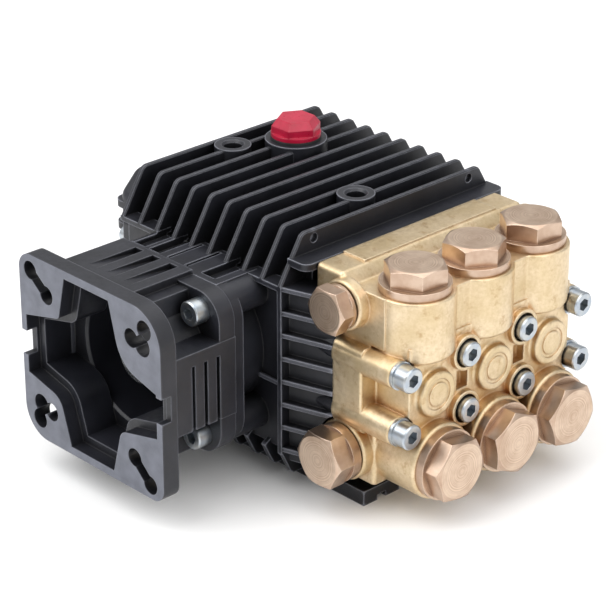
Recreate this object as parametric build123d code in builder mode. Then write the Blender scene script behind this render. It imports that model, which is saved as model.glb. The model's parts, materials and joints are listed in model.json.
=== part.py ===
from build123d import *
import os
from math import atan2, cos, degrees, hypot, radians, sin, sqrt

os.makedirs("parts", exist_ok=True)

# Triplex plunger pump for direct drive from a small petrol engine. Millimetres.
# +X runs from the crankshaft to the head, +Z is up, and the engine is on the -Y side.
# The origin is the centre of the engine flange's face, on the crankshaft's axis.

# ---- Driving dimensions ----
cylinder_pitch = 41.0
mid_y = 151.2
cylinder_ys = [mid_y - cylinder_pitch, mid_y, mid_y + cylinder_pitch]
crank_phases = [0, 120, 240]
throw = 3.0
rod_length = 50.0
running = 0.05  # radial clearance of a running fit

# Engine adapter
flange_width, flange_height, flange_thickness = 107.6, 101.4, 10.0
flange_hole_offset = 65.1 / 2  # four holes on a 3 5/8 inch circle
flange_hole_r = 5.0
adapter_seat_y, adapter_end_y = 43.0, 53.0
adapter_half_x, adapter_half_z = 48.0, 46.5
adapter_wall, pilot_r, pilot_y, pilot_bevel = 4.5, 36.0, 27.0, 1.2
adapter_top_xs, adapter_step_z = (-36.0, 16.9), 42.1
top_pocket_xs, top_pocket_w, top_pocket_depth = [-23.1, -9.9, 3.3], 6.2, 3.4
adapter_screw_offset = 34.0

# Crankcase
rear_x, plate_x, guide_front_x = -64.0, 58.0, 85.0
fin_count, fin_pitch, first_fin_x, fin_thickness, fin_bevel = 10, 13.23, -62.5, 2.8, 0.6
fin_top_z, fin_top_half = 68.1, 62.6
shoulder_z, shoulder_half = 43.8, 77.3
wall_half, guide_end_half = 72.0, 64.0
case_bottom_z, lobe_z, foot_z = -54.0, -62.0, -68.0
chamber_half, chamber_z, guide_start_x = 57.0, 42.0, 31.0
near_wall_y, far_wall_y = mid_y - wall_half, mid_y + wall_half
neck_half_x, neck_half_z, neck_ring_w, neck_drum_r = 46.0, 44.0, 7.0, 39.5
neck_pockets = [(-34.5, -24.3), (-21.3, -13.0), (18.4, 28.6)]
neck_grooves, neck_rim, neck_pocket_z = [(-7.5, -5.7), (5.8, 7.9)], 4.3, 40.0
cover_screw_top_z = 55.3
cover_screw_places = [
    (mid_y + side * y, z) for side in (-1, 1)
    for y, z in ((66, 27), (66, -30), (35, cover_screw_top_z), (35, -49))
]
foot_half_y, foot_width, foot_front_x, foot_hole_x = 47.5, 25.0, 99.5, 40.0
filler_place, filler_z = (-32.5, mid_y + 18), 70.3

# Crankshaft and bearings
drive_bore_r, journal_r, pin_r, core_r = 9.525, 15.0, 13.0, 16.5
shaft_start_y, drive_bore_end_y = 30.0, 90.0
front_bearing_y, front_bearing_w, front_bearing_r = 76.0, 16.0, 31.0
rear_bearing_y, rear_bearing_w, rear_bearing_r, rear_journal_r = 208.2, 15.0, 26.0, 12.5
seal_y, seal_w, seal_r = 62.0, 8.0, 26.0

# Running gear
crosshead_r, plunger_r, wrist_r = 15.0, 9.0, 4.5
rod_width, shell_gap = 14.0, 0.15
cage_in_r = pin_r + throw / 2 + shell_gap
cage_out_r = cage_in_r + 1.8
big_bore_r = cage_out_r + throw / 2 + shell_gap
big_end_r = big_bore_r + 5.5
guide_end_x, oil_seal_x, oil_seal_r = 72.0, 77.0, 14.0

# Head
head_front_x, wall_front_x, disc_front_x, disc_groove_r = 124.2, 127.0, 131.0, 8.2
head_half, band_half, pad_front_x = 61.5, 57.5, 104.5
bar_rear_x, bar_front_x, bar_top_z, bar_half = 70.0, 86.0, 57.0, 64.0
screw_seat_r, screw_boss_r, screw_boss_x = 7.6, 9.3, 130.3
screw_row_z = 15.3
screw_ys = [mid_y + k * cylinder_pitch / 2 for k in (-3, -1, 1, 3)]
screw_places = [(y, z) for y in screw_ys for z in (-screw_row_z, screw_row_z)]
discharge_x, discharge_top_z, valve_cylinder_z = 113.7, 51.3, 18.5
gallery_rear_x, gallery_low_z, gallery_high_z = 79.0, -20.5, 31.5
lower_block_x, bar_slope, web_step = 108.0, 5.5, 0.8
suction_z, suction_front_x = -35.7, 134.0
valve_cylinder_r, cap_thread_r, valve_chamber_r = 20.0, 13.0, 12.0
seat_r, seat_height, seat_hole_r = 9.6, 5.0, 6.0
suction_seat_x, discharge_seat_z = 106.5, 22.0
valve_lift, poppet_r = 1.8, 8.0
discharge_gallery_x, discharge_gallery_z, discharge_gallery_r = 90.5, 42.5, 6.0
suction_gallery_x, suction_gallery_z, suction_gallery_r = 91.5, -36.0, 8.5
outlet_r, inlet_r, port_depth, boss_end = 7.5, 9.3, 14.0, 68.0
upper_boss_r, lower_boss_r = 13.0, 16.0
packing_r, packing_end_x, pump_chamber_r = 15.0, 104.0, 10.0


# ---- Helpers ----
def engine_plane(y):
    """A plane that faces the engine: its own x is X and its own y is Z."""
    return Plane(origin=(0, y, 0), x_dir=(1, 0, 0), z_dir=(0, -1, 0))


def section_plane(x):
    """A plane across X that faces the head: its own x is Y, from the middle cylinder, and its y is Z."""
    return Plane(origin=(x, mid_y, 0), x_dir=(0, 1, 0), z_dir=(1, 0, 0))


def bar_x(radius, start, end, y=mid_y, z=0.0, mode=Mode.ADD):
    with Locations(((start + end) / 2, y, z)):
        Cylinder(radius, abs(end - start), rotation=(0, 90, 0), mode=mode)


def bar_y(radius, start, end, x=0.0, z=0.0, mode=Mode.ADD):
    with Locations((x, (start + end) / 2, z)):
        Cylinder(radius, abs(end - start), rotation=(90, 0, 0), mode=mode)


def bar_z(radius, start, end, x, y, mode=Mode.ADD):
    with Locations((x, y, (start + end) / 2)):
        Cylinder(radius, abs(end - start), mode=mode)


def block(xs, ys, zs, mode=Mode.ADD):
    size = [abs(pair[1] - pair[0]) for pair in (xs, ys, zs)]
    with Locations(tuple(sum(pair) / 2 for pair in (xs, ys, zs))):
        Box(*size, mode=mode)


def slot_between(start, end, half_width):
    """A slot in the current sketch, from one end's centre to the other's."""
    across, up = end[0] - start[0], end[1] - start[1]
    with Locations(((start[0] + end[0]) / 2, (start[1] + end[1]) / 2)):
        SlotCenterToCenter(hypot(across, up), 2 * half_width, rotation=degrees(atan2(up, across)))


def corner_of(sketch, side_x, side_y):
    return max(sketch.vertices(), key=lambda vertex: vertex.X * side_x + vertex.Y * side_y)


def hand_over(piece, label):
    piece.label = label
    export_step(piece, f"parts/{label}.step")


def crank_point(radius, phase):
    """A point at this radius from the crankshaft's axis, as (x, z)."""
    return radius * cos(radians(phase)), radius * sin(radians(phase))


# ---- Fastener and valve templates, each standing on its seat with its shank down -Z ----
def socket_screw(thread_r, head_r, head_height, length, key_size):
    with BuildPart() as screw:
        bar_z(thread_r, -length, 0, 0, 0)
        bar_z(head_r, 0, head_height, 0, 0)
        chamfer(screw.faces().sort_by(Axis.Z)[-1].edges(), head_r * 0.1)
        with BuildSketch(Plane.XY.offset(head_height)):
            RegularPolygon(key_size / 2, 6, major_radius=False)
        extrude(amount=-head_height * 0.6, mode=Mode.SUBTRACT)
    return screw.part


def hexagon_plug(
    across_flats, hex_height, collar_r, collar_height, thread_r, thread_length, relief_r=0, slope=0
):
    """A hexagon-headed plug with a collar under its head, an optional hollow in its thread's end
    and flats that may lean in by this many degrees over their upper half."""
    corner_r = across_flats / sqrt(3)
    top = collar_height + hex_height
    bevel = across_flats * 0.05
    with BuildPart() as plug:
        with BuildSketch(Plane.XY.offset(collar_height)):
            RegularPolygon(across_flats / 2, 6, major_radius=False)
        extrude(amount=hex_height if not slope else hex_height / 2)
        if slope:
            extrude(plug.faces().sort_by(Axis.Z)[-1], amount=hex_height / 2, taper=slope)
        # Turned bevel over the hexagon's corners.
        with BuildSketch(Plane.XZ):
            with BuildLine():
                Polyline(
                    (0, 0), (corner_r + 1, 0), (corner_r + 1, top - bevel),
                    (corner_r, top - bevel), (across_flats / 2 - bevel / 2, top), (0, top), close=True,
                )
            make_face()
        revolve(axis=Axis.Z, mode=Mode.INTERSECT)
        bar_z(collar_r, 0, collar_height, 0, 0)
        bar_z(thread_r, -thread_length, 0, 0, 0)
        if relief_r:
            bar_z(relief_r, -thread_length, -thread_length * 0.35, 0, 0, Mode.SUBTRACT)
    return plug.part


facing_up = Location((0, 0, 0))
facing_head = Location((0, 0, 0), (0, 90, 0))
facing_engine = Location((0, 0, 0), (90, 0, 0))
facing_far = Location((0, 0, 0), (-90, 0, 0))
facing_rear = Location((0, 0, 0), (0, -90, 0))


def placed(template, facing, points, turns=None):
    """Copies of a template at these points, facing one way, each turned about its own axis."""
    return Compound(children=[
        Location(point) * facing * Location((0, 0, 0), (0, 0, turn)) * template
        for point, turn in zip(points, turns or [0] * len(points))
    ])


def ring_z(outer_r, inner_r, height):
    with BuildPart() as ring:
        bar_z(outer_r, 0, height, 0, 0)
        bar_z(inner_r, 0, height, 0, 0, Mode.SUBTRACT)
    return ring.part


# ---- Engine adapter ----
with BuildPart() as engine_adapter:
    with BuildSketch(engine_plane(0)) as flange_outline:
        Rectangle(flange_width, flange_height)
        for side_x, side_z, radius in ((1, 1, 20), (-1, -1, 17), (-1, 1, 9), (1, -1, 8)):
            fillet(corner_of(flange_outline, side_x, side_z), radius)
    extrude(amount=-flange_thickness)
    # Body behind the flange, cut away at its corners to reach the bolts.
    with BuildSketch(engine_plane(flange_thickness)):
        Rectangle(2 * adapter_half_x, 42)
        Rectangle(50, 2 * adapter_half_z)
        Circle(pilot_r + 3.5)
    extrude(amount=flange_thickness - adapter_end_y)
    with BuildSketch(engine_plane(adapter_seat_y)) as joint_outline:
        Rectangle(2 * adapter_half_x - 1, 88)
        fillet(joint_outline.vertices(), 15)
    extrude(amount=adapter_seat_y - adapter_end_y)
    # Raised top, stepped down beside the upper screw and run out over the other one.
    top_left_x, top_right_x = adapter_top_xs
    block((top_left_x, -24), (flange_thickness, adapter_end_y), (adapter_step_z + 1, adapter_half_z))
    for ys, low_z in (((flange_thickness, adapter_seat_y), adapter_step_z),
                      ((adapter_seat_y, adapter_end_y), neck_half_z)):
        block((top_right_x, 26), ys, (low_z, adapter_half_z + 1), Mode.SUBTRACT)
    # Pockets in the top that deepen towards the case, and upright grooves on the sides.
    for x in top_pocket_xs:
        with BuildSketch(Plane.YZ.offset(x)):
            with BuildLine():
                Polyline(
                    (20, adapter_half_z), (50, adapter_half_z - top_pocket_depth),
                    (50, adapter_half_z + 1), (20, adapter_half_z + 1), close=True,
                )
            make_face()
        extrude(amount=top_pocket_w, mode=Mode.SUBTRACT)
    for y in (25.5, 33.5, 41.5):
        for side in (-1, 1):
            xs = (side * (adapter_half_x - 2.5), side * (adapter_half_x + 1))
            block(xs, (y - 1.1, y + 1.1), (-22, 14), Mode.SUBTRACT)
    # Cross-shaped hollow, open at the flange, narrower behind it.
    for start, depth, inset in ((0, 8, 0), (8, pilot_y - 8, adapter_wall)):
        with BuildSketch(engine_plane(start)) as hollow:
            with BuildLine():
                Polyline(
                    (-18, 46.5), (-23.5, 22.8), (-50, 16.2), (-50, -16), (-25, -22), (-17.5, -46.5),
                    (16, -46.5), (22.5, -22), (50, -15.5), (50, 8.5), (24, 15.5), (16, 46.5), close=True,
                )
            make_face()
            inner_corners = (((-23.5, 22.8), 3), ((-25, -22), 10), ((22.5, -22), 6), ((24, 15.5), 20))
            for corner, radius in inner_corners:
                point = Vector(*corner)
                fillet(min(hollow.vertices(), key=lambda v: (Vector(v.X, v.Y) - point).length), radius)
            if inset:
                offset(amount=-inset, kind=Kind.INTERSECTION, mode=Mode.REPLACE)
        extrude(amount=-depth, mode=Mode.SUBTRACT)
    bar_y(pilot_r, pilot_y, adapter_end_y, mode=Mode.SUBTRACT)
    with Locations((0, pilot_y + pilot_bevel / 2, 0)):
        Cone(pilot_r, pilot_r + pilot_bevel, pilot_bevel, rotation=(90, 0, 0), mode=Mode.SUBTRACT)
    # Open notches through the two side rims.
    for side in (-1, 1):
        block((side * 49, side * 60), (-1, 6.1), (-6.6, 7), Mode.SUBTRACT)
    # Fixing holes: the common bolt circle, run out into slots and lobes for other engines.
    with BuildSketch(engine_plane(0)):
        offset_4 = flange_hole_offset
        with GridLocations(2 * offset_4, 2 * offset_4, 2, 2):
            Circle(flange_hole_r)
        for outer, inner in (((-44.8, 42.2), (-offset_4, offset_4)), ((44, -43.2), (offset_4, -offset_4))):
            with Locations(outer):
                Circle(flange_hole_r)
            slot_between(outer, inner, flange_hole_r * 0.68)
        for side in (-1, 1):
            for x, z, radius in ((40.7, 31.1, 5.6), (42.3, 39.8, 5.2)):
                with Locations((side * x, side * z)):
                    Circle(radius)
    extrude(amount=-flange_thickness, mode=Mode.SUBTRACT)
    for x in (-adapter_screw_offset, adapter_screw_offset):
        for z in (-adapter_screw_offset, adapter_screw_offset):
            bar_y(4.2, adapter_seat_y, adapter_end_y, x, z, Mode.SUBTRACT)
hand_over(engine_adapter.part, "engine_adapter")

# ---- Crankcase ----
# One upright fin over the top and shoulders, with bevelled edges, and one short lobe below.
fin_flat = fin_thickness - 2 * fin_bevel
with BuildPart() as fin_template:
    with BuildSketch(section_plane(-fin_flat / 2)) as fin:
        with BuildLine():
            Polyline(
                (-fin_top_half, fin_top_z), (fin_top_half, fin_top_z), (shoulder_half, shoulder_z),
                (60, 40), (-60, 40), (-shoulder_half, shoulder_z), close=True,
            )
        make_face()
        for side in (-1, 1):
            fillet(corner_of(fin, side * 0.5, 1), 4.5)
    extrude(amount=fin_flat)
    for face in (fin_template.faces().sort_by(Axis.X)[0], fin_template.faces().sort_by(Axis.X)[-1]):
        extrude(face, amount=fin_bevel, taper=45)
with BuildPart() as lobe_template:
    with BuildSketch(section_plane(-fin_thickness / 2)) as lobe:
        with BuildLine():
            Polyline(
                (-70, lobe_z), (70, lobe_z), (76.5, -49),
                (68, -44), (-68, -44), (-76.5, -49), close=True,
            )
        make_face()
        for side in (-1, 1):
            fillet(corner_of(lobe, side, -1), 3.5)
    extrude(amount=fin_thickness)

with BuildPart() as crankcase:
    # Core of the casting, with sloping shoulders.
    with BuildSketch(section_plane(rear_x)):
        with BuildLine():
            Polyline(
                (-57, 52), (57, 52), (68, 39), (wall_half, 39), (wall_half, -49), (64, case_bottom_z),
                (-64, case_bottom_z), (-wall_half, -49), (-wall_half, 39), (-68, 39), close=True,
            )
        make_face()
    extrude(amount=plate_x - rear_x)
    # Fins and lobes along the case.
    with Locations([(first_fin_x + index * fin_pitch, 0, 0) for index in range(fin_count)]):
        add(fin_template.part)
        add(lobe_template.part)
    # Shelf under the fins' ends and the upright rib that carries the front fin down.
    for side in (-1, 1):
        shelf = (mid_y + side * (wall_half - 4), mid_y + side * shoulder_half)
        block((rear_x, plate_x), shelf, (shoulder_z - fin_thickness, shoulder_z))
        block((plate_x - fin_thickness, plate_x), shelf, (-49, shoulder_z))
    # Guide block in front of the plate, tapering towards the head, with level ribs.
    with BuildSketch(Plane.XY.offset(case_bottom_z)):
        with BuildLine():
            Polyline(
                (plate_x - 1, mid_y - wall_half), (guide_front_x, mid_y - guide_end_half),
                (guide_front_x, mid_y + guide_end_half), (plate_x - 1, mid_y + wall_half), close=True,
            )
        make_face()
    extrude(amount=shoulder_z - case_bottom_z)
    for rib_z in (-46, -33.2, -20.5, -7.8, 4.9, 17.6, 29.7, shoulder_z - 1.1):
        with BuildSketch(Plane.XY.offset(rib_z - 1.1)):
            with BuildLine():
                Polyline(
                    (plate_x - 1, mid_y - shoulder_half), (guide_front_x, mid_y - boss_end - 0.4),
                    (guide_front_x, mid_y + boss_end + 0.4), (plate_x - 1, mid_y + shoulder_half),
                    close=True,
                )
            make_face()
        extrude(amount=2.2)
    # Ledge along the foot of the front plate, and the plate's own lower wall.
    block((plate_x - 1, 62), (mid_y - 60, mid_y + 60), (shoulder_z - 1, 55))
    with BuildSketch(Plane.XY.offset(53.2)) as ledge:
        with Locations(((plate_x - 2 + 69.3) / 2, mid_y)):
            Rectangle(69.3 - plate_x + 2, 2 * 71)
        fillet(ledge.vertices().group_by(Axis.X)[-1], 5)
    extrude(amount=57 - 53.2)
    # Foot rails, run forward under the head, and a stiffener across them.
    for side in (-1, 1):
        centre = mid_y + side * foot_half_y
        foot_ys = (centre - foot_width / 2, centre + foot_width / 2)
        block((rear_x + 4, foot_front_x), foot_ys, (foot_z, lobe_z + 2))
        block((rear_x + 4, guide_front_x), foot_ys, (lobe_z, case_bottom_z + 1))
        slot_ys = (centre - 3, centre + 3)
        block((foot_front_x - 6, foot_front_x), slot_ys, (foot_z - 1, foot_z + 3), Mode.SUBTRACT)
    block((guide_front_x - 16, guide_front_x - 13.2), (mid_y - 66, mid_y + 66), (lobe_z, case_bottom_z + 1))
    # Neck that carries the engine adapter, and a round seat on the far side.
    with BuildSketch(engine_plane(adapter_end_y)) as neck:
        Rectangle(2 * neck_half_x, 2 * neck_half_z)
        fillet(neck.vertices(), 17)
    extrude(amount=-neck_ring_w)
    neck_ys = (adapter_end_y, near_wall_y + 1)
    bar_y(neck_drum_r, *neck_ys)
    for x in (-adapter_screw_offset, adapter_screw_offset):
        for z in (-adapter_screw_offset, adapter_screw_offset):
            bar_y(9, *neck_ys, x, z)
    block((-adapter_screw_offset, adapter_screw_offset), neck_ys, (30, neck_half_z))
    # Pockets between the fins' feet, open to the valleys, and two narrow grooves beside fins.
    for xs in neck_pockets:
        pocket_ys = (adapter_end_y + neck_rim, near_wall_y + 4)
        block(xs, pocket_ys, (neck_pocket_z, neck_half_z + 1), Mode.SUBTRACT)
    for xs in neck_grooves:
        groove_ys = (adapter_end_y + neck_rim, near_wall_y + 1)
        block(xs, groove_ys, (neck_half_z - 2.5, neck_half_z + 1), Mode.SUBTRACT)
    block((neck_drum_r - 3, plate_x - 1), (near_wall_y - 2, near_wall_y + 1), (-13, -11))
    bar_y(35, far_wall_y - 2, far_wall_y + 0.5)
    # Bosses on top: two tapped holes and the oil filler.
    tapped_bosses = ((-51.2, mid_y - 10.1), (40.2, mid_y - 8.9))
    for x, y in tapped_bosses:
        bar_z(9.8, 50, 68.6, x, y)
    bar_z(16.5, 50, filler_z, *filler_place)
    # Bosses round the end head screws and behind the rear cover's upper screws.
    for side in (-1, 1):
        for z in (-screw_row_z, screw_row_z):
            bar_x(6, guide_front_x - 18, guide_front_x, mid_y + side * head_half, z)
        bar_x(5.5, rear_x, rear_x + 12, mid_y + side * 35, cover_screw_top_z)

    # Crank chamber, open at the rear, and the three crosshead guides.
    chamber_ys = (mid_y - chamber_half, mid_y + chamber_half)
    block((rear_x, guide_start_x), chamber_ys, (-chamber_z, chamber_z), Mode.SUBTRACT)
    for y in cylinder_ys:
        bar_x(crosshead_r + running, guide_start_x - 1, guide_end_x, y, 0, Mode.SUBTRACT)
        bar_x(plunger_r + 1, guide_end_x, oil_seal_x, y, 0, Mode.SUBTRACT)
        bar_x(oil_seal_r, oil_seal_x, guide_front_x, y, 0, Mode.SUBTRACT)
    # Bearing seats and the seal's seat.
    bar_y(front_bearing_r, front_bearing_y, mid_y - chamber_half, mode=Mode.SUBTRACT)
    bar_y(seal_r, adapter_end_y + 5, front_bearing_y, mode=Mode.SUBTRACT)
    bar_y(22, adapter_end_y, adapter_end_y + 5, mode=Mode.SUBTRACT)
    bar_y(rear_bearing_r, mid_y + chamber_half, far_wall_y + 0.5, mode=Mode.SUBTRACT)
    # Tapped and threaded holes.
    for x, y in tapped_bosses:
        bar_z(5, 54, 68.6, x, y, Mode.SUBTRACT)
        with Locations((x, y, 68.6 - 0.6)):
            Cone(5, 6.2, 1.2, mode=Mode.SUBTRACT)
    bar_z(9.5, chamber_z, filler_z, *filler_place, Mode.SUBTRACT)
    for y in (mid_y - 55, mid_y + 55):
        bar_x(2.4, plate_x - fin_thickness, plate_x, y, 63.6, Mode.SUBTRACT)
    for x in (-adapter_screw_offset, adapter_screw_offset):
        for z in (-adapter_screw_offset, adapter_screw_offset):
            bar_y(4, adapter_end_y, adapter_end_y + 20, x, z, Mode.SUBTRACT)
    for x, z, radius in ((discharge_gallery_x, discharge_gallery_z, upper_boss_r),
                         (suction_gallery_x, suction_gallery_z, lower_boss_r)):
        for side in (-1, 1):
            bar_y(radius + 1.2, mid_y + side * (head_half - 0.2), mid_y + side * 80, x, z, Mode.SUBTRACT)
    # Steps in the guide block's front for the head's two gallery blocks.
    for zs in ((case_bottom_z - 1, gallery_low_z + 0.2), (gallery_high_z - 0.2, shoulder_z + 1)):
        step_ys = (mid_y - head_half - 0.2, mid_y + head_half + 0.2)
        block((gallery_rear_x - 0.2, guide_front_x + 1), step_ys, zs, Mode.SUBTRACT)
    for y, z in screw_places:
        bar_x(4, guide_front_x - 18, guide_front_x, y, z, Mode.SUBTRACT)
    for turn in (45, 135, 225, 315):
        x, z = crank_point(30.5, turn)
        bar_y(2.5, far_wall_y - 9, far_wall_y + 0.5, x, z, Mode.SUBTRACT)
    for y, z in cover_screw_places:
        bar_x(2.5, rear_x, rear_x + 12, y, z, Mode.SUBTRACT)
    for x in (-foot_hole_x, foot_hole_x):
        for side in (-1, 1):
            bar_z(3.4, foot_z, foot_z + 12, x, mid_y + side * foot_half_y, Mode.SUBTRACT)
hand_over(crankcase.part, "crankcase")

# ---- Rear cover, gasket, sight glass and drain plug ----
gasket_x, cover_x, dome_x = rear_x - 0.8, rear_x - 5.8, rear_x - 22.0
cover_points = [
    (-50, 60), (50, 60), (68, 41), (71, 36), (71, -48), (63, -53.5),
    (-63, -53.5), (-71, -48), (-71, 36), (-68, 41),
]
sight_r, sight_z, drain_z = 13.0, 4.0, -33.0
dome_half, dome_rib_w = 61.0, 4.0
with BuildPart() as rear_cover_gasket:
    with BuildSketch(section_plane(gasket_x)):
        Polygon(*cover_points, align=None)
        offset(amount=-0.5, kind=Kind.INTERSECTION, mode=Mode.REPLACE)
        Rectangle(2 * chamber_half, 2 * chamber_z, mode=Mode.SUBTRACT)
    extrude(amount=rear_x - gasket_x)
    for y, z in cover_screw_places:
        bar_x(2.7, gasket_x, rear_x, y, z, Mode.SUBTRACT)
hand_over(rear_cover_gasket.part, "rear_cover_gasket")

with BuildPart() as rear_cover:
    with BuildSketch(section_plane(cover_x)) as plate:
        Polygon(*cover_points, align=None)
        fillet(plate.vertices(), 3)
    extrude(amount=gasket_x - cover_x)
    with BuildSketch(section_plane(dome_x)) as dome:
        Polygon(
            (-49.5, 57.5), (49.5, 57.5), (dome_half, 46), (dome_half, -44),
            (-dome_half, -44), (-dome_half, 46), align=None,
        )
        fillet(dome.vertices(), 8)
    extrude(amount=cover_x - dome_x)
    fillet(rear_cover.faces().sort_by(Axis.X)[0].edges(), 6)
    # Level ribs over the dome.
    for rib_z in (39, 26.5, 14, -11, -23.5, -36):
        with BuildSketch(Plane.XY.offset(rib_z - dome_rib_w / 2)) as rib:
            with Locations(((dome_x - dome_rib_w + cover_x) / 2, mid_y)):
                Rectangle(cover_x - dome_x + dome_rib_w, 2 * dome_half)
            fillet(rib.vertices().group_by(Axis.X)[0], 6)
        extrude(amount=dome_rib_w)
    # Channels down the dome's top to its upper screws.
    for side in (-1, 1):
        channel_y = mid_y + side * 35
        bar_x(6, dome_x - dome_rib_w, cover_x, channel_y, cover_screw_top_z, Mode.SUBTRACT)
        channel_ys, channel_zs = (channel_y - 6, channel_y + 6), (cover_screw_top_z, 60)
        block((dome_x - dome_rib_w, cover_x), channel_ys, channel_zs, Mode.SUBTRACT)
    bar_x(sight_r + 5, dome_x - 3, cover_x, mid_y, sight_z)
    bar_x(12, dome_x - 3, cover_x, mid_y, drain_z)
    bar_x(sight_r + 5, dome_x - dome_rib_w, dome_x - 3, mid_y, sight_z, Mode.SUBTRACT)
    bar_x(12, dome_x - dome_rib_w, dome_x - 3, mid_y, drain_z, Mode.SUBTRACT)
    # Hollow inside, bores for the sight glass, drain and screws.
    block((dome_x + 4.5, gasket_x), (mid_y - 43, mid_y + 43), (-38, 42), Mode.SUBTRACT)
    bar_x(sight_r, dome_x - 3, dome_x + 2.5, mid_y, sight_z, Mode.SUBTRACT)
    bar_x(sight_r - 3, dome_x - 3, dome_x + 5, mid_y, sight_z, Mode.SUBTRACT)
    bar_x(6.7, dome_x - 3, dome_x + 5, mid_y, drain_z, Mode.SUBTRACT)
    for y, z in cover_screw_places:
        bar_x(2.7, cover_x, gasket_x, y, z, Mode.SUBTRACT)
hand_over(rear_cover.part, "rear_cover")

with BuildPart() as sight_glass:
    bar_x(sight_r, dome_x - 2, dome_x + 2.5, mid_y, sight_z)
    fillet(sight_glass.faces().sort_by(Axis.X)[0].edges(), 1.5)
hand_over(sight_glass.part, "sight_glass")

drain_template = hexagon_plug(17, 6, 11, 2, 6.6, 7)
hand_over(placed(drain_template, facing_rear, [(dome_x - 3, mid_y, drain_z)]), "drain_plug")

# ---- Blind bearing cover on the far side ----
far_gasket_y = far_wall_y + 0.5
far_cover_y, far_cover_w = far_gasket_y + 0.4, 5.0
far_screw_points = [crank_point(30.5, turn) for turn in (45, 135, 225, 315)]
with BuildPart() as bearing_cover_gasket:
    bar_y(34.5, far_gasket_y, far_cover_y)
    bar_y(rear_bearing_r, far_gasket_y, far_cover_y, mode=Mode.SUBTRACT)
    for x, z in far_screw_points:
        bar_y(2.7, far_gasket_y, far_cover_y, x, z, Mode.SUBTRACT)
hand_over(bearing_cover_gasket.part, "bearing_cover_gasket")

with BuildPart() as bearing_cover:
    bar_y(35, far_cover_y, far_cover_y + far_cover_w)
    bar_y(21, far_cover_y, far_cover_y + far_cover_w + 2)
    fillet(bearing_cover.faces().sort_by(Axis.Y)[-1].edges(), 1.5)
    for x, z in far_screw_points:
        bar_y(2.7, far_cover_y, far_cover_y + far_cover_w, x, z, Mode.SUBTRACT)
hand_over(bearing_cover.part, "bearing_cover")

cover_screw = socket_screw(2.45, 4.25, 5, 13, 4)
far_seats = [(x, far_cover_y + far_cover_w, z) for x, z in far_screw_points]
rear_seats = [(cover_x, y, z) for y, z in cover_screw_places]
cover_screws = Compound(children=[
    placed(cover_screw, facing_far, far_seats), placed(cover_screw, facing_rear, rear_seats),
])
hand_over(cover_screws, "cover_screws")

adapter_screw = socket_screw(3.95, 6.5, 8, 26, 6)
adapter_seats = [
    (x, adapter_seat_y, z) for x in (-adapter_screw_offset, adapter_screw_offset)
    for z in (-adapter_screw_offset, adapter_screw_offset)
]
hand_over(placed(adapter_screw, facing_engine, adapter_seats), "adapter_screws")

# ---- Oil filler cap ----
oil_cap_template = hexagon_plug(23, 7.8, 13.3, 2.2, 9.3, 14, slope=35)
hand_over(placed(oil_cap_template, facing_up, [(*filler_place, filler_z + 1.5)]), "oil_cap")
hand_over(placed(ring_z(13.5, 9.6, 1.5), facing_up, [(*filler_place, filler_z)]), "oil_cap_seal")

# ---- Crankshaft ----
with BuildPart() as crankshaft:
    first_pin_y = cylinder_ys[0] - 9
    last_pin_y = cylinder_ys[-1] + 9
    bar_y(journal_r, shaft_start_y, front_bearing_y + front_bearing_w)
    bar_y(core_r, front_bearing_y + front_bearing_w, first_pin_y)
    for y, phase in zip(cylinder_ys, crank_phases):
        pin_x, pin_z = crank_point(throw, phase)
        bar_y(pin_r, y - 9, y + 9, pin_x, pin_z)
    for y in cylinder_ys[:-1]:
        bar_y(core_r, y + 9, y + cylinder_pitch - 9)
    bar_y(core_r, last_pin_y, rear_bearing_y)
    bar_y(rear_journal_r, rear_bearing_y, rear_bearing_y + rear_bearing_w)
    chamfer(crankshaft.faces().sort_by(Axis.Y)[0].edges(), 1)
    # Keyed bore for the engine's shaft.
    bar_y(drive_bore_r, shaft_start_y, drive_bore_end_y, mode=Mode.SUBTRACT)
    block((-2.38, 2.38), (shaft_start_y, drive_bore_end_y), (0, drive_bore_r + 2.1), Mode.SUBTRACT)
hand_over(crankshaft.part, "crankshaft")

with BuildPart() as crankshaft_seal:
    bar_y(seal_r, seal_y, seal_y + seal_w)
    bar_y(journal_r + running, seal_y, seal_y + seal_w, mode=Mode.SUBTRACT)
hand_over(crankshaft_seal.part, "crankshaft_seal")


def ball_bearing(name, start_y, width, inner_r, outer_r, ball_count):
    """Writes a deep-groove bearing's outer ring with its balls, and its inner ring."""
    pitch_r = (inner_r + outer_r) / 2
    ball_r = (outer_r - inner_r) * 0.29
    gap_r = ball_r * 0.72
    middle_y = start_y + width / 2
    with BuildPart() as outer:
        bar_y(outer_r, start_y, start_y + width)
        bar_y(pitch_r + gap_r, start_y, start_y + width, mode=Mode.SUBTRACT)
        with Locations((0, middle_y, 0)):
            Torus(pitch_r, ball_r + 0.1, rotation=(90, 0, 0), mode=Mode.SUBTRACT)
    with BuildPart() as inner:
        bar_y(pitch_r - gap_r, start_y, start_y + width)
        bar_y(inner_r, start_y, start_y + width, mode=Mode.SUBTRACT)
        with Locations((0, middle_y, 0)):
            Torus(pitch_r, ball_r + 0.1, rotation=(90, 0, 0), mode=Mode.SUBTRACT)
    ball_points = [crank_point(pitch_r, index * 360 / ball_count) for index in range(ball_count)]
    balls = [Location((x, middle_y, z)) * Sphere(ball_r) for x, z in ball_points]
    hand_over(Compound(children=[outer.part, *balls]), f"{name}_outer")
    hand_over(inner.part, f"{name}_inner")


ball_bearing("front_bearing", front_bearing_y, front_bearing_w, journal_r, front_bearing_r, 9)
ball_bearing("rear_bearing", rear_bearing_y, rear_bearing_w, rear_journal_r, rear_bearing_r, 8)

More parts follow.
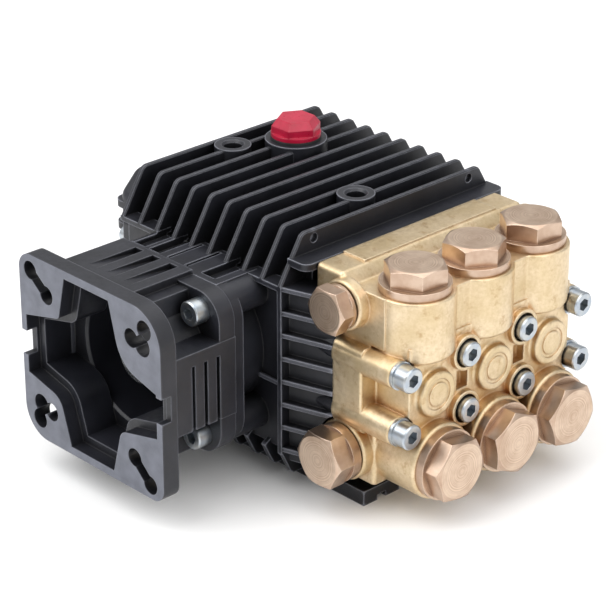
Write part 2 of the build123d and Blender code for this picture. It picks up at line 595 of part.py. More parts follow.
# ---- Running gear, one set for each cylinder ----
eye_gap = wrist_r + running
eye_travel = throw + shell_gap
for number, (y, phase) in enumerate(zip(cylinder_ys, crank_phases), start=1):
    pin_x, pin_z = crank_point(throw, phase)
    cage_x, cage_z = crank_point(throw / 2, phase)
    wrist_x = pin_x + rod_length
    half = rod_width / 2

    with BuildPart() as cage:
        bar_y(cage_out_r, y - half + 1, y + half - 1, cage_x, cage_z)
        bar_y(cage_in_r, y - half + 1, y + half - 1, cage_x, cage_z, Mode.SUBTRACT)
    hand_over(cage.part, f"big_end_cage_{number}")

    with BuildPart() as rod:
        bar_y(big_end_r, y - half, y + half, pin_x, pin_z)
        block((pin_x + 15, wrist_x), (y - 5.9, y + 5.9), (pin_z - 6.5, pin_z + 6.5))
        with BuildSketch(engine_plane(y + 5.9)):
            with Locations((wrist_x, pin_z)):
                SlotCenterToCenter(2 * eye_travel, 2 * (eye_gap + 2.8), rotation=90)
        extrude(amount=2 * 5.9)
        with BuildSketch(engine_plane(y + 5.9)):
            with Locations((wrist_x, pin_z)):
                SlotCenterToCenter(2 * eye_travel, 2 * eye_gap, rotation=90)
        extrude(amount=2 * 5.9, mode=Mode.SUBTRACT)
        bar_y(big_bore_r, y - half, y + half, pin_x, pin_z, Mode.SUBTRACT)
    hand_over(rod.part, f"connecting_rod_{number}")

    with BuildPart() as crosshead:
        bar_x(crosshead_r, wrist_x - 12, wrist_x + 18, y)
        bar_x(8, wrist_x + 18, wrist_x + 20, y)
        block((wrist_x - 13, wrist_x + 9), (y - 6.3, y + 6.3), (-16, 16), Mode.SUBTRACT)
        bar_x(4, wrist_x + 9, wrist_x + 20, y, 0, Mode.SUBTRACT)
        bar_y(wrist_r, y - 15, y + 15, wrist_x, 0, Mode.SUBTRACT)
    hand_over(crosshead.part, f"crosshead_{number}")

    with BuildPart() as wrist_pin:
        bar_y(wrist_r, y - 13, y + 13, wrist_x, 0)
    hand_over(wrist_pin.part, f"wrist_pin_{number}")

    with BuildPart() as plunger:
        bar_x(plunger_r, wrist_x + 20, wrist_x + 60, y)
        bar_x(4.2, wrist_x + 20, wrist_x + 60, y, 0, Mode.SUBTRACT)
    hand_over(plunger.part, f"plunger_{number}")

    bolt = socket_screw(3.95, 7, 5, 49, 6)
    hand_over(placed(bolt, facing_head, [(wrist_x + 60, y, 0)]), f"plunger_bolt_{number}")

# ---- Seals round the plungers ----
with BuildPart() as oil_seals:
    for y in cylinder_ys:
        bar_x(oil_seal_r, oil_seal_x, guide_front_x - 0.5, y)
    for y in cylinder_ys:
        bar_x(plunger_r + running, oil_seal_x, guide_front_x - 0.5, y, 0, Mode.SUBTRACT)
hand_over(oil_seals.part, "oil_seals")

packing_start_x = 92.0
with BuildPart() as packing_retainers:
    for y in cylinder_ys:
        bar_x(packing_r - 0.1, guide_front_x + 0.3, packing_start_x, y)
    for y in cylinder_ys:
        bar_x(plunger_r + 0.3, guide_front_x + 0.3, packing_start_x, y, 0, Mode.SUBTRACT)
hand_over(packing_retainers.part, "packing_retainers")

low_ring, high_ring = (packing_start_x, 97.8), (98.0, packing_end_x)
with BuildPart() as packing_rings:
    for y in cylinder_ys:
        for ring_start, ring_end in (low_ring, high_ring):
            bar_x(packing_r - 0.1, ring_start, ring_end, y)
    for y in cylinder_ys:
        bar_x(plunger_r + running, packing_start_x, packing_end_x, y, 0, Mode.SUBTRACT)
hand_over(packing_rings.part, "packing_rings")

# ---- Pump head ----
head_ys = (mid_y - head_half, mid_y + head_half)
with BuildPart() as pump_head:
    # Middle band that the screws clamp, and the gallery blocks above and below it.
    block((guide_front_x, pad_front_x), head_ys, (-24, 28))
    block((guide_front_x, wall_front_x), (mid_y - band_half, mid_y + band_half), (-24, 28))
    block((guide_front_x, discharge_x), head_ys, (24, discharge_top_z))
    web_ys = (mid_y - cylinder_pitch, mid_y + cylinder_pitch)
    block((discharge_x, wall_front_x - web_step), web_ys, (24, discharge_top_z))
    # Top bar that overhangs the crankcase, with a sloping front and a raised middle.
    with BuildSketch(engine_plane(mid_y - bar_half)):
        with BuildLine():
            Polyline(
                (bar_rear_x, shoulder_z + 0.8), (bar_rear_x, bar_top_z), (bar_front_x, bar_top_z),
                (bar_front_x + bar_slope, discharge_top_z), (bar_front_x + bar_slope, shoulder_z + 0.8),
                close=True,
            )
        make_face()
    extrude(amount=-2 * bar_half)
    block((bar_rear_x, bar_front_x - 1), (mid_y - 46.7, mid_y + 46.7), (bar_top_z, bar_top_z + 1))
    block((gallery_rear_x, lower_block_x), head_ys, (-52, gallery_low_z))
    block((gallery_rear_x, 94), head_ys, (gallery_high_z, discharge_top_z))
    block((guide_front_x, 118), (mid_y - 41, mid_y + 41), (-50, -20))
    for y in cylinder_ys:
        bar_z(valve_cylinder_r, valve_cylinder_z, discharge_top_z, discharge_x, y)
        bar_x(valve_cylinder_r, guide_front_x, suction_front_x, y, suction_z)
        bar_x(12, wall_front_x - 1, disc_front_x, y)
    # End pads with screw lugs, and the galleries' end bosses.
    for side in (-1, 1):
        pad_ys = (mid_y + side * (head_half - 5), mid_y + side * boss_end)
        with BuildSketch(section_plane(guide_front_x)) as pad:
            with Locations((side * (head_half + boss_end - 5) / 2, 0)):
                Rectangle(boss_end - head_half + 5, 46)
            outer_x = side * boss_end
            fillet([v for v in pad.vertices() if abs(v.X - outer_x) < 0.01], 4)
        extrude(amount=pad_front_x - guide_front_x)
        for z in (-screw_row_z, screw_row_z):
            bar_x(7.6, guide_front_x, head_front_x, mid_y + side * head_half, z)
        boss_start, boss_finish = mid_y + side * head_half, mid_y + side * boss_end
        bar_y(upper_boss_r, boss_start, boss_finish, discharge_gallery_x, discharge_gallery_z)
        bar_y(lower_boss_r, boss_start, boss_finish, suction_gallery_x, suction_gallery_z)
    # Rounded edges and corners of the casting: radius, kind of edge, where it lies, least length.
    for radius, kind, axis, position, shortest in (
        (1.5, GeomType.CIRCLE, Axis.X, wall_front_x, 70),
        (1.2, GeomType.CIRCLE, Axis.X, disc_front_x, 70),
        (1.5, GeomType.CIRCLE, Axis.X, suction_front_x, 100),
        (2.5, GeomType.CIRCLE, Axis.Z, valve_cylinder_z, 25),
        (1.0, GeomType.CIRCLE, Axis.Z, discharge_top_z, 30),
        (1.5, GeomType.CIRCLE, Axis.Y, mid_y - boss_end, 70),
        (1.5, GeomType.CIRCLE, Axis.Y, mid_y + boss_end, 70),
        (2.0, Axis.Y, Axis.X, bar_front_x, 100),
        (1.5, Axis.Y, Axis.X, bar_front_x + bar_slope, 100),
        (1.0, GeomType.CIRCLE, Axis.X, head_front_x, 30),
        (2.0, Axis.Z, Axis.X, wall_front_x - web_step, 15),
        (1.5, Axis.Y, Axis.X, wall_front_x, 20),
        (1.0, Axis.Z, Axis.X, pad_front_x, 15),
        (2.0, Axis.Z, Axis.X, lower_block_x, 25),
        (2.5, Axis.X, Axis.Y, mid_y - bar_half, 10),
        (2.5, Axis.X, Axis.Y, mid_y + bar_half, 10),
    ):
        there = pump_head.edges().filter_by(kind).filter_by_position(axis, position - 0.02, position + 0.02)
        fillet(there.filter_by(lambda edge: edge.length > shortest), radius)
    # Round groove in each disc's face.
    for y in cylinder_ys:
        bar_x(disc_groove_r, disc_front_x - 0.6, disc_front_x, y, 0, Mode.SUBTRACT)
        bar_x(disc_groove_r - 2, disc_front_x - 0.7, disc_front_x, y)
    # Plunger bores and pumping chambers.
    for y in cylinder_ys:
        bar_x(packing_r, guide_front_x, packing_end_x, y, 0, Mode.SUBTRACT)
        bar_x(pump_chamber_r, packing_end_x, 121, y, 0, Mode.SUBTRACT)
        # Suction valve bore, facing the head's front, and its way up to the chamber.
        bar_x(7, suction_gallery_x, suction_seat_x, y, suction_z, Mode.SUBTRACT)
        bar_x(seat_r, suction_seat_x, suction_seat_x + seat_height, y, suction_z, Mode.SUBTRACT)
        bar_x(valve_chamber_r, suction_seat_x + seat_height, 127, y, suction_z, Mode.SUBTRACT)
        bar_x(cap_thread_r, 127, suction_front_x, y, suction_z, Mode.SUBTRACT)
        bar_z(5.5, suction_z, 0, 116, y, Mode.SUBTRACT)
        # Discharge valve bore, upright, and its way back to the gallery.
        bar_z(6, 0, discharge_seat_z, discharge_x, y, Mode.SUBTRACT)
        bar_z(seat_r, discharge_seat_z, discharge_seat_z + seat_height, discharge_x, y, Mode.SUBTRACT)
        bar_z(valve_chamber_r, discharge_seat_z + seat_height, 41.3, discharge_x, y, Mode.SUBTRACT)
        bar_z(cap_thread_r, 41.3, discharge_top_z, discharge_x, y, Mode.SUBTRACT)
        bar_x(3.5, discharge_gallery_x, discharge_x - 8, y, discharge_gallery_z - 4, Mode.SUBTRACT)
    # Galleries with their end ports.
    for x, z, gallery_r, port_r in (
        (discharge_gallery_x, discharge_gallery_z, discharge_gallery_r, outlet_r),
        (suction_gallery_x, suction_gallery_z, suction_gallery_r, inlet_r),
    ):
        bar_y(gallery_r, mid_y - boss_end, mid_y + boss_end, x, z, Mode.SUBTRACT)
        for side in (-1, 1):
            port_ys = (mid_y + side * (boss_end - port_depth), mid_y + side * boss_end)
            bar_y(port_r, *port_ys, x, z, Mode.SUBTRACT)
    for side in (-1, 1):
        for z in (-screw_row_z, screw_row_z):
            bar_x(screw_boss_r, head_front_x, screw_boss_x, mid_y + side * cylinder_pitch / 2, z)
        window_y = mid_y + side * cylinder_pitch / 2
        window_ys = (window_y - 4, window_y + 4)
        block((wall_front_x - 5, wall_front_x + 1), window_ys, (-5.2, 5.2), Mode.SUBTRACT)
    for y, z in screw_places:
        bar_x(4.3, guide_front_x, head_front_x, y, z, Mode.SUBTRACT)
        bar_x(screw_seat_r, head_front_x, suction_front_x + 1, y, z, Mode.SUBTRACT)
hand_over(pump_head.part, "pump_head")

# ---- Head screws on their washers ----
washer_w = 1.5
head_screw = socket_screw(3.95, 6.5, 8, 56, 6)
head_washer = ring_z(7.3, 4.1, washer_w)
head_fasteners = Compound(children=[
    placed(head_screw, facing_head, [(head_front_x + washer_w, y, z) for y, z in screw_places]),
    placed(head_washer, facing_head, [(head_front_x, y, z) for y, z in screw_places]),
])
hand_over(head_fasteners, "head_screws")

# ---- Valve caps, side plugs and their seals ----
discharge_cap = hexagon_plug(28, 9.3, 18, 4.2, cap_thread_r - 0.1, 10, 8)
suction_cap = hexagon_plug(30, 9, 18.5, 4.7, cap_thread_r - 0.1, 7, 8)
discharge_points = [(discharge_x, y, discharge_top_z) for y in cylinder_ys]
suction_points = [(suction_front_x, y, suction_z) for y in cylinder_ys]
# Each cap's hexagon stops where its thread comes tight.
discharge_turns, suction_turns = [26, -3, 24], [21, 6.5, 19.5]
hand_over(placed(discharge_cap, facing_up, discharge_points, discharge_turns), "discharge_caps")
hand_over(placed(suction_cap, facing_head, suction_points, suction_turns), "suction_caps")

plug_seal_w = 0.8
plug_seat_y = mid_y - boss_end - plug_seal_w
upper_plug = hexagon_plug(22, 8, 11.5, 2.2, outlet_r - 0.1, 10)
lower_plug = hexagon_plug(27, 10.5, 15, 5.2, inlet_r - 0.1, 11)
upper_point = (discharge_gallery_x, plug_seat_y, discharge_gallery_z)
lower_point = (suction_gallery_x, plug_seat_y, suction_gallery_z)
hand_over(placed(upper_plug, facing_engine, [upper_point]), "upper_side_plug")
hand_over(placed(lower_plug, facing_engine, [lower_point]), "lower_side_plug")

cap_ring = ring_z(valve_chamber_r - 0.05, 10, 1.4)
seal_rings = Compound(children=[
    placed(cap_ring, facing_up, [(discharge_x, y, 41.3 - 1.4) for y in cylinder_ys]),
    placed(cap_ring, facing_head, [(127 - 1.4, y, suction_z) for y in cylinder_ys]),
    placed(ring_z(10, outlet_r + 0.1, plug_seal_w), facing_engine,
           [(discharge_gallery_x, mid_y - boss_end, discharge_gallery_z)]),
    placed(ring_z(13, inlet_r + 0.1, plug_seal_w), facing_engine,
           [(suction_gallery_x, mid_y - boss_end, suction_gallery_z)]),
])
hand_over(seal_rings, "seal_rings")

# ---- Valves: each is made upright on its seat, then stood in its bore ----
poppet_w, cage_height, cage_wall, stem_r = 1.6, 12.5, 1.2, 2.0
spring_r, spring_wire_r = 5.2, 0.55
cage_top = seat_height + cage_height
with BuildPart() as valve_seat:
    bar_z(seat_r - 0.05, 0, seat_height, 0, 0)
    bar_z(seat_hole_r, 0, seat_height, 0, 0, Mode.SUBTRACT)
with BuildPart() as valve_poppet:
    bar_z(poppet_r, seat_height, seat_height + poppet_w, 0, 0)
    bar_z(stem_r, seat_height + poppet_w, cage_top - 2, 0, 0)
with BuildPart() as valve_cage:
    bar_z(valve_chamber_r - 0.05, seat_height, cage_top, 0, 0)
    bar_z(valve_chamber_r - cage_wall, seat_height, cage_top - 1.6, 0, 0, Mode.SUBTRACT)
    bar_z(stem_r + 0.2, cage_top - 1.6, cage_top, 0, 0, Mode.SUBTRACT)
    for turn in (0, 90, 180, 270):
        with Locations(Location((0, 0, seat_height + 6), (0, 0, turn))):
            with Locations((valve_chamber_r, 0, 0)):
                Box(8, 9, 7, mode=Mode.SUBTRACT)
spring_start = seat_height + poppet_w + spring_wire_r + 0.05
spring_end = cage_top - 1.6 - spring_wire_r - 0.05
with BuildPart() as valve_spring:
    with BuildLine():
        coil = Helix(pitch=(spring_end - spring_start) / 4, height=spring_end - spring_start,
                     radius=spring_r, center=(0, 0, spring_start))
    with BuildSketch(Plane(origin=coil @ 0, z_dir=coil % 0)):
        Circle(spring_wire_r)
    sweep(is_frenet=True)

valve_stands = [("discharge", facing_up, [(discharge_x, y, discharge_seat_z) for y in cylinder_ys]),
                ("suction", facing_head, [(suction_seat_x, y, suction_z) for y in cylinder_ys])]
for pieces, label in ((valve_seat.part, "valve_seats"), (valve_cage.part, "valve_cages")):
    copies = [placed(pieces, facing, points) for _, facing, points in valve_stands]
    hand_over(Compound(children=copies), label)
for side_name, facing, points in valve_stands:
    for number, point in enumerate(points, start=1):
        hand_over(placed(valve_poppet.part, facing, [point]), f"{side_name}_poppet_{number}")
        hand_over(placed(valve_spring.part, facing, [point]), f"{side_name}_spring_{number}")
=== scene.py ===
import json
from math import cos, radians, sin

import bmesh
import bpy
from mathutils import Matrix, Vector


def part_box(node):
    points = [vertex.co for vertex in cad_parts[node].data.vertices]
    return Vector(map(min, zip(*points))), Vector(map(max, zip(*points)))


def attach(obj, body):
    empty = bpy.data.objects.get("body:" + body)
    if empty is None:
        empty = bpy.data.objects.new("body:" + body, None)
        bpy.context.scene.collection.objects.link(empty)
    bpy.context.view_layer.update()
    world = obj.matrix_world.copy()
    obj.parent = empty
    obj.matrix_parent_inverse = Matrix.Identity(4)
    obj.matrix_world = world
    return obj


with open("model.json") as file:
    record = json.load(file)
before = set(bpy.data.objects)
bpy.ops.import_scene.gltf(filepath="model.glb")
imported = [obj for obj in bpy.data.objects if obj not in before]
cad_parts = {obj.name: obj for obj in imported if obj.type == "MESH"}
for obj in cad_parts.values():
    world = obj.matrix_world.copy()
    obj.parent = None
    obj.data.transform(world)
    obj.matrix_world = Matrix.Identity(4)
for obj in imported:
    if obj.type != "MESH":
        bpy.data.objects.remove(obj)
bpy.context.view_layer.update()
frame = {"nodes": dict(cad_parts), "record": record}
nodes = frame["nodes"]

MM = 0.001
CASTING_LOW, CASTING_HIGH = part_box("crankcase")
MID_Y = (CASTING_LOW.y + CASTING_HIGH.y) / 2
FLOOR_Z = CASTING_LOW.z

# How far a rounded direction turns from the flat one along an edge.
TURNED_AT_EDGE = (0.02, 0.2)
# How open a surface is just around an outward edge, and how far around it to look.
OPEN_AT_EDGE, EDGE_REACH = (0.82, 0.97), 1.6 * MM
# How open the inside of a wall is where the wall is thin.
THIN_WALL = (0.42, 0.6)
# How far behind the flange's machined face the bare metal fades into the coating.
MACHINED_DEPTH = 0.3 * MM
# The middle of a noise's range, where most of its values lie.
MIDDLE, WIDE_MIDDLE = (0.35, 0.65), (0.3, 0.7)


# ---- Material nodes ----
class Graph:
    """One material's node tree, with a short call for each kind of node the finishes share."""

    def __init__(self, name):
        self.material = bpy.data.materials.new(name)
        self.material.use_nodes = True
        self.tree = self.material.node_tree
        self.shader = self.tree.nodes["Principled BSDF"]
        self.place = self.add("TexCoord").outputs["Object"]

    def add(self, kind, inputs=(), **settings):
        made = self.tree.nodes.new("ShaderNode" + kind)
        for key, value in settings.items():
            setattr(made, key, value)
        for key, value in dict(inputs).items():
            self.put(made.inputs[key], value)
        return made

    def put(self, socket, value):
        if isinstance(value, bpy.types.NodeSocket):
            self.tree.links.new(value, socket)
        else:
            socket.default_value = value

    def shade(self, **inputs):
        """Sets or links the shader's sockets, named with _ for each space."""
        for key, value in inputs.items():
            self.put(self.shader.inputs[key.replace("_", " ")], value)
        return self.material

    def maths(self, operation, first, second=0.0, third=0.0):
        return self.add("Math", {0: first, 1: second, 2: third}, operation=operation).outputs[0]

    def axis(self, index):
        return self.add("SeparateXYZ", {0: self.place}).outputs[index]

    def noise(self, size, detail=2.0, roughness=0.5, stretch=(1, 1, 1)):
        """Noise whose features are about this many metres across."""
        place = self.add("Mapping", {"Vector": self.place, "Scale": stretch}).outputs[0]
        settings = {"Vector": place, "Scale": 1 / size, "Detail": detail, "Roughness": roughness}
        return self.add("TexNoise", settings).outputs[0]

    def spread(self, value, low, high, out_low=0.0, out_high=1.0):
        """Maps low..high to out_low..out_high, and holds the ends."""
        inputs = {"Value": value, "From Min": low, "From Max": high,
                  "To Min": out_low, "To Max": out_high}
        return self.add("MapRange", inputs).outputs[0]

    def mix(self, factor, first, second):
        """Mixes two colours. The Mix node keeps its colours in sockets 6 and 7."""
        made = self.add("Mix", data_type="RGBA")
        for socket, value in ((0, factor), (6, first), (7, second)):
            self.put(made.inputs[socket], value)
        return made.outputs[2]

    def rounded(self, radius):
        """The surface's direction as if its edges were rounded to this radius."""
        return self.add("Bevel", {"Radius": radius}, samples=6).outputs[0]

    def edges(self, rounded):
        """1 along sharp outward edges and 0 on open faces and in inner corners."""
        flat = self.add("NewGeometry").outputs["Normal"]
        along = self.add("VectorMath", {0: rounded, 1: flat}, operation="DOT_PRODUCT")
        turned = self.maths("SUBTRACT", 1.0, along.outputs["Value"])
        sharp = self.spread(turned, *TURNED_AT_EDGE)
        near = self.add("AmbientOcclusion", {"Distance": EDGE_REACH}, samples=8).outputs["AO"]
        return self.maths("MULTIPLY", sharp, self.spread(near, *OPEN_AT_EDGE))

    def hollows(self, distance, low=0.35, high=0.85):
        """A mask for painted shade: 1 deep inside hollows and 0 in the open."""
        seen = self.add("AmbientOcclusion", {"Distance": distance}, samples=6).outputs["AO"]
        return self.spread(seen, low, high, 1.0, 0.0)

    def slivers(self, width):
        """1 on the narrow edges of walls thinner than about this width, and 0 on broad faces."""
        inner = self.add("AmbientOcclusion", {"Distance": width},
                         samples=8, inside=True, only_local=True)
        return self.spread(inner.outputs["AO"], *THIN_WALL, 1.0, 0.0)

    def bump(self, height, depth, normal=None):
        inputs = {"Height": height, "Distance": depth, "Strength": 1.0}
        if normal is not None:
            inputs["Normal"] = normal
        return self.add("Bump", inputs).outputs[0]


def rgb(red, green, blue):
    """A colour from its usual 0 to 255 values, as the shader takes it."""
    def line(value):
        value /= 255
        return value / 12.92 if value <= 0.04045 else ((value + 0.055) / 1.055) ** 2.4
    return (line(red), line(green), line(blue), 1.0)


# ---- Finishes ----
def black_casting(name, wear_and_painted_light=1.0, face_y=None):
    """Die-cast alloy under satin black coating, with painted shade in its hollows, and paler
    along edges and thin fin tips: partly the coating thinning there, partly painted highlight.

    A bare machined face lies at face_y.
    """
    g = Graph(name)
    rounded = g.rounded(0.8 * MM)
    patches = g.noise(22 * MM, 4)
    colour = g.mix(g.spread(patches, *MIDDLE), rgb(24, 25, 31), rgb(35, 36, 43))
    if face_y is not None:
        on_face = g.spread(g.axis(1), face_y, face_y + MACHINED_DEPTH, 1.0, 0.0)
        clouds = g.spread(g.noise(9 * MM, 4), *WIDE_MIDDLE)
        colour = g.mix(on_face, colour, g.mix(clouds, rgb(86, 89, 99), rgb(106, 109, 120)))
    # Painted shade: the coating darkens nearly to black deep in hollows.
    colour = g.mix(g.hollows(16 * MM, 0.25, 0.8), colour, rgb(9, 9, 11))
    # Paler edges and thin fin tips: partly worn coating, partly painted highlight.
    patchy = g.spread(g.noise(5 * MM, 3), *WIDE_MIDDLE, 0.5 * wear_and_painted_light, wear_and_painted_light)
    edge_wear_and_highlight = g.maths("MULTIPLY", g.edges(rounded), patchy)
    tip_wear_and_highlight = g.maths("MULTIPLY", g.slivers(2.4 * MM), 0.8 * wear_and_painted_light)
    colour = g.mix(tip_wear_and_highlight, colour, rgb(122, 124, 134))
    colour = g.mix(edge_wear_and_highlight, colour, rgb(150, 152, 162))
    roughness = g.spread(g.noise(3 * MM, 3), *WIDE_MIDDLE, 0.36, 0.48)
    grain = g.bump(g.noise(0.9 * MM, 3, 0.6), 0.05 * MM, rounded)
    return g.shade(Base_Color=colour, Roughness=roughness, Normal=grain, Specular_IOR_Level=0.45)


def cast_brass(name):
    """Bead-blasted brass casting, with painted brown shade in its hollows, and rubbed bright
    along its edges.
    """
    g = Graph(name)
    rounded = g.rounded(1.3 * MM)
    colour = g.mix(g.spread(g.noise(16 * MM, 4), *MIDDLE), rgb(212, 191, 153), rgb(228, 209, 178))
    mottle = g.spread(g.noise(2.2 * MM, 4, 0.7), 0.38, 0.66, 0.0, 0.5)
    colour = g.mix(mottle, colour, rgb(196, 172, 134))
    stains = g.spread(g.noise(6 * MM, 6, 0.7), 0.56, 0.68, 0.0, 0.55)
    colour = g.mix(stains, colour, rgb(176, 142, 100))
    # Painted shade: brown darkening deep in the hollows.
    painted_hollow_shade = g.maths("MULTIPLY", g.hollows(7 * MM, 0.2, 0.75), 0.7)
    colour = g.mix(painted_hollow_shade, colour, rgb(184, 132, 82))
    colour = g.mix(g.maths("MULTIPLY", g.edges(rounded), 0.6), colour, rgb(250, 236, 208))
    roughness = g.spread(g.noise(2 * MM, 3), *WIDE_MIDDLE, 0.38, 0.5)
    grain = g.bump(g.noise(0.55 * MM, 3, 0.6), 0.05 * MM, rounded)
    return g.shade(Base_Color=colour, Metallic=1.0, Roughness=roughness, Normal=grain)


def turned_brass(name, axis, centre, pitch=0.0):
    """Machined brass with turning marks round its own axis, and round each copy's along Y."""
    g = Graph(name)
    across = []
    for index in range(3):
        if index != axis:
            offset = g.maths("SUBTRACT", g.axis(index), centre[index])
            if index == 1 and pitch:
                offset = g.maths("WRAP", offset, pitch / 2, -pitch / 2)
            across.append(offset)
    flat = g.add("CombineXYZ", {0: across[0], 1: across[1]}).outputs[0]
    radius = g.add("VectorMath", {0: flat}, operation="LENGTH").outputs["Value"]
    rings = {"W": radius, "Scale": 1 / (0.65 * MM), "Detail": 3.0}
    marks = g.add("TexNoise", rings, noise_dimensions="1D").outputs[0]
    tarnish = g.spread(g.noise(7 * MM, 4), 0.35, 0.7)
    rounded = g.rounded(0.5 * MM)
    # The marks show on faces square to the axis; the flats are milled and nearly plain.
    facing = g.add("SeparateXYZ", {0: g.add("NewGeometry").outputs["Normal"]}).outputs[axis]
    on_end = g.spread(g.maths("ABSOLUTE", facing), 0.85, 0.97)
    milled = g.noise(0.7 * MM, 3, 0.6, [1 if index == axis else 6 for index in range(3)])
    streaks = g.add("Mix", {0: on_end, 2: g.maths("MULTIPLY", milled, 0.5), 3: marks}).outputs[0]
    colour = g.mix(tarnish, rgb(204, 180, 160), rgb(186, 159, 139))
    colour = g.mix(g.spread(streaks, *MIDDLE, 0.0, 0.6), colour, rgb(236, 216, 192))
    smudges = g.spread(g.noise(12 * MM, 5, 0.6), 0.45, 0.68, 0.0, 0.4)
    colour = g.mix(smudges, colour, rgb(166, 134, 110))
    # Painted shade: dark brown in hollows, such as under the cap collars.
    colour = g.mix(g.maths("MULTIPLY", g.hollows(4 * MM), 0.8), colour, rgb(112, 78, 56))
    colour = g.mix(g.maths("MULTIPLY", g.edges(rounded), 0.6), colour, rgb(246, 230, 210))
    roughness = g.spread(streaks, 0.2, 0.7, 0.32, 0.44)
    grooves = g.bump(streaks, 0.03 * MM, rounded)
    return g.shade(Base_Color=colour, Metallic=1.0, Roughness=roughness, Normal=grooves)


def zinc_steel(name):
    """Bright zinc plating with a faint blue and yellow cast, and painted shade inside the
    sockets.
    """
    g = Graph(name)
    rounded = g.rounded(0.25 * MM)
    colour = g.mix(g.spread(g.noise(4 * MM, 3), *MIDDLE), rgb(172, 181, 191), rgb(190, 193, 193))
    # Painted shade: dark blue-grey inside the sockets.
    colour = g.mix(g.hollows(5 * MM, 0.1, 0.5), colour, rgb(34, 40, 48))
    colour = g.mix(g.maths("MULTIPLY", g.edges(rounded), 0.5), colour, rgb(244, 246, 248))
    roughness = g.spread(g.noise(0.8 * MM, 3), *WIDE_MIDDLE, 0.28, 0.36)
    grain = g.bump(g.noise(0.6 * MM, 2), 0.0012 * MM, rounded)
    return g.shade(Base_Color=colour, Metallic=1.0, Roughness=roughness, Normal=grain)


def plain_metal(name, dark, pale, low_roughness, high_roughness, stretch=(1, 1, 1)):
    """Ground or turned metal with fine marks drawn out along one way."""
    g = Graph(name)
    rounded = g.rounded(0.3 * MM)
    marks = g.noise(0.8 * MM, 3, 0.6, stretch)
    colour = g.mix(g.spread(g.noise(6 * MM, 3), *MIDDLE), dark, pale)
    roughness = g.spread(marks, *WIDE_MIDDLE, low_roughness, high_roughness)
    return g.shade(Base_Color=colour, Metallic=1.0, Roughness=roughness,
                   Normal=g.bump(marks, 0.002 * MM, rounded))


def moulded(name, dark, pale, roughness, grain_size, grain_depth, edge_radius=0.4 * MM):
    """Moulded plastic, rubber or ceramic with a fine surface grain."""
    g = Graph(name)
    colour = g.mix(g.spread(g.noise(5 * MM, 3), *WIDE_MIDDLE), dark, pale)
    rough = g.spread(g.noise(2 * MM, 2), *WIDE_MIDDLE, roughness - 0.05, roughness + 0.06)
    grain = g.bump(g.noise(grain_size, 2), grain_depth, g.rounded(edge_radius))
    return g.shade(Base_Color=colour, Roughness=rough, Normal=grain)


def clear_glass(name):
    """Clear glass, a little smeared."""
    g = Graph(name)
    smears = g.spread(g.noise(4 * MM, 3), 0.35, 0.7, 0.02, 0.09)
    tint = g.mix(g.noise(6 * MM, 2), (0.92, 0.95, 0.92, 1), (0.98, 0.98, 0.96, 1))
    return g.shade(Base_Color=tint, Roughness=smears, Transmission_Weight=1.0, IOR=1.5)


# The copies along Y of caps and valves are one cylinder pitch apart.
FIRST_LOW, FIRST_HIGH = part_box("plunger_bolt_1")
NEXT_LOW, NEXT_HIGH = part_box("plunger_bolt_2")
PITCH = (NEXT_LOW.y + NEXT_HIGH.y - FIRST_LOW.y - FIRST_HIGH.y) / 2
CAP_AXES = {"discharge_caps": 2, "suction_caps": 0}

SHARED_FINISHES = {
    "black_casting": lambda slot: black_casting(slot),
    "cast_brass": lambda slot: cast_brass(slot),
    "zinc_steel": lambda slot: zinc_steel(slot),
    "red_plastic": lambda slot: moulded(
        slot, rgb(160, 12, 46), rgb(176, 20, 56), 0.32, 1.2 * MM, 0.02 * MM, 0.8 * MM),
    "sealing_rubber": lambda slot: moulded(
        slot, rgb(24, 24, 25), rgb(38, 38, 40), 0.6, 0.5 * MM, 0.03 * MM),
    "clear_glass": lambda slot: clear_glass(slot),
    "polished_steel": lambda slot: plain_metal(
        slot, rgb(196, 198, 202), rgb(222, 223, 226), 0.12, 0.28, (1, 8, 1)),
    "aluminium_alloy": lambda slot: plain_metal(
        slot, rgb(176, 178, 182), rgb(206, 208, 211), 0.34, 0.5),
    "cage_polymer": lambda slot: moulded(
        slot, rgb(150, 132, 96), rgb(172, 152, 112), 0.45, 0.6 * MM, 0.02 * MM),
    "white_ceramic": lambda slot: moulded(
        slot, rgb(226, 224, 216), rgb(240, 238, 230), 0.2, 0.6 * MM, 0.004 * MM),
}
finishes = {}


def finish_of(name, slot):
    """A CAD node's finish: its own where marks follow its box, and otherwise its slot's."""
    low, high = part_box(name)
    if slot == "machined_brass":
        pitch = PITCH if name in CAP_AXES else 0.0
        return turned_brass("turned_" + name, CAP_AXES.get(name, 1), (low + high) / 2, pitch)
    if name == "engine_adapter":
        return black_casting("black_casting_adapter", wear_and_painted_light=0.45, face_y=low.y)
    if slot not in finishes:
        finishes[slot] = SHARED_FINISHES[slot](slot)
    return finishes[slot]


for row in frame["record"]["subparts"]:
    piece = nodes[row["node"]]
    finish = finish_of(row["node"], row["material_slot"])
    piece.data.materials.clear()
    piece.data.materials.append(finish)


# ---- Webs that close the floors of the adapter's two front grooves ----
# In the CAD these grooves break through the adapter's wall, and the webs stand in for it.
WEB_X, WEB_Y, WEB_Z = (45.5 * MM, 46.3 * MM), (24.4 * MM, 26.6 * MM), (-22 * MM, 14 * MM)
WEB_ROUNDING = 0.3 * MM


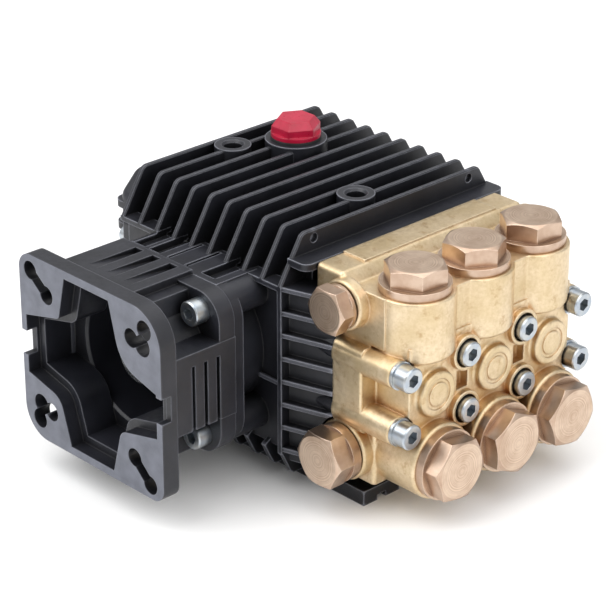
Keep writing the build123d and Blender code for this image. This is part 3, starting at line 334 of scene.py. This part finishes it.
def groove_web(side):
    """A thin web on one side, with rounded outer edges as a cast groove's floor has."""
    mesh = bpy.data.meshes.new("groove_web")
    shell = bmesh.new()
    corners = [shell.verts.new((side * x, y, z)) for x in WEB_X for y in WEB_Y for z in WEB_Z]
    bmesh.ops.convex_hull(shell, input=corners)
    bmesh.ops.dissolve_limit(shell, angle_limit=radians(1), verts=shell.verts, edges=shell.edges)
    middle_x = side * sum(WEB_X) / 2
    outer = [edge for edge in shell.edges
             if all((vert.co.x - middle_x) * side > 0 for vert in edge.verts)]
    bmesh.ops.bevel(shell, geom=outer, offset=WEB_ROUNDING, segments=3, affect="EDGES")
    bmesh.ops.recalc_face_normals(shell, faces=shell.faces)
    shell.to_mesh(mesh)
    shell.free()
    mesh.materials.append(nodes["engine_adapter"].data.materials[0])
    web = bpy.data.objects.new("groove_web_" + ("right" if side > 0 else "left"), mesh)
    bpy.context.scene.collection.objects.link(web)
    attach(web, "casing")


for side in (-1, 1):
    groove_web(side)


# ---- Camera at the photograph's angle ----
AZIMUTH, ELEVATION = radians(46.58), radians(25.55)
LENS, SENSOR_WIDTH = 147.5, 36
camera = bpy.data.objects.new("camera", bpy.data.cameras.new("camera"))
camera.data.lens = LENS
camera.data.sensor_width = SENSOR_WIDTH
camera.location = (0.8616, -0.6710, 0.5589)
towards = -Vector((sin(AZIMUTH) * cos(ELEVATION), -cos(AZIMUTH) * cos(ELEVATION), sin(ELEVATION)))
camera.rotation_mode = "QUATERNION"
camera.rotation_quaternion = towards.to_track_quat("-Z", "Y")
bpy.context.scene.collection.objects.link(camera)
bpy.context.scene.camera = camera


# ---- Floor and studio light ----
FLOOR_HALF = 6.0


def studio_floor():
    """A wide floor of plain pale paper under the feet."""
    g = Graph("studio_floor")
    paper = g.noise(0.05, 3)
    g.shade(Base_Color=g.mix(paper, rgb(244, 244, 244), rgb(250, 250, 250)), Roughness=0.9,
            Normal=g.bump(g.noise(0.002), 0.02 * MM))
    mesh = bpy.data.meshes.new("floor")
    signs = ((-1, -1), (1, -1), (1, 1), (-1, 1))
    corners = [(x * FLOOR_HALF, y * FLOOR_HALF, FLOOR_Z) for x, y in signs]
    mesh.from_pydata(corners, [], [(0, 1, 2, 3)])
    mesh.materials.append(g.material)
    floor = bpy.data.objects.new("floor", mesh)
    bpy.context.scene.collection.objects.link(floor)


def soft_box(name, place, target, size, power):
    """A square studio light that faces the target."""
    lamp = bpy.data.lights.new(name, "AREA")
    lamp.size, lamp.energy = size, power
    light = bpy.data.objects.new(name, lamp)
    light.location = place
    light.rotation_mode = "QUATERNION"
    light.rotation_quaternion = (Vector(target) - Vector(place)).to_track_quat("-Z", "Y")
    bpy.context.scene.collection.objects.link(light)


studio_floor()
OBJECT_MIDDLE = (0.02, MID_Y, 0.0)
soft_box("key_light", (-0.35, -0.75, 1.05), OBJECT_MIDDLE, 1.1, 13)
soft_box("front_light", (1.15, 0.10, 0.75), OBJECT_MIDDLE, 1.1, 8)
soft_box("top_light", (0.0, 0.30, 1.3), OBJECT_MIDDLE, 1.5, 11)

world = bpy.data.worlds.new("studio")
world.use_nodes = True
background = world.node_tree.nodes["Background"]
background.inputs["Color"].default_value = (1.0, 1.0, 1.0, 1.0)
background.inputs["Strength"].default_value = 0.6
bpy.context.scene.world = world
bpy.context.scene.view_settings.view_transform = "Standard"
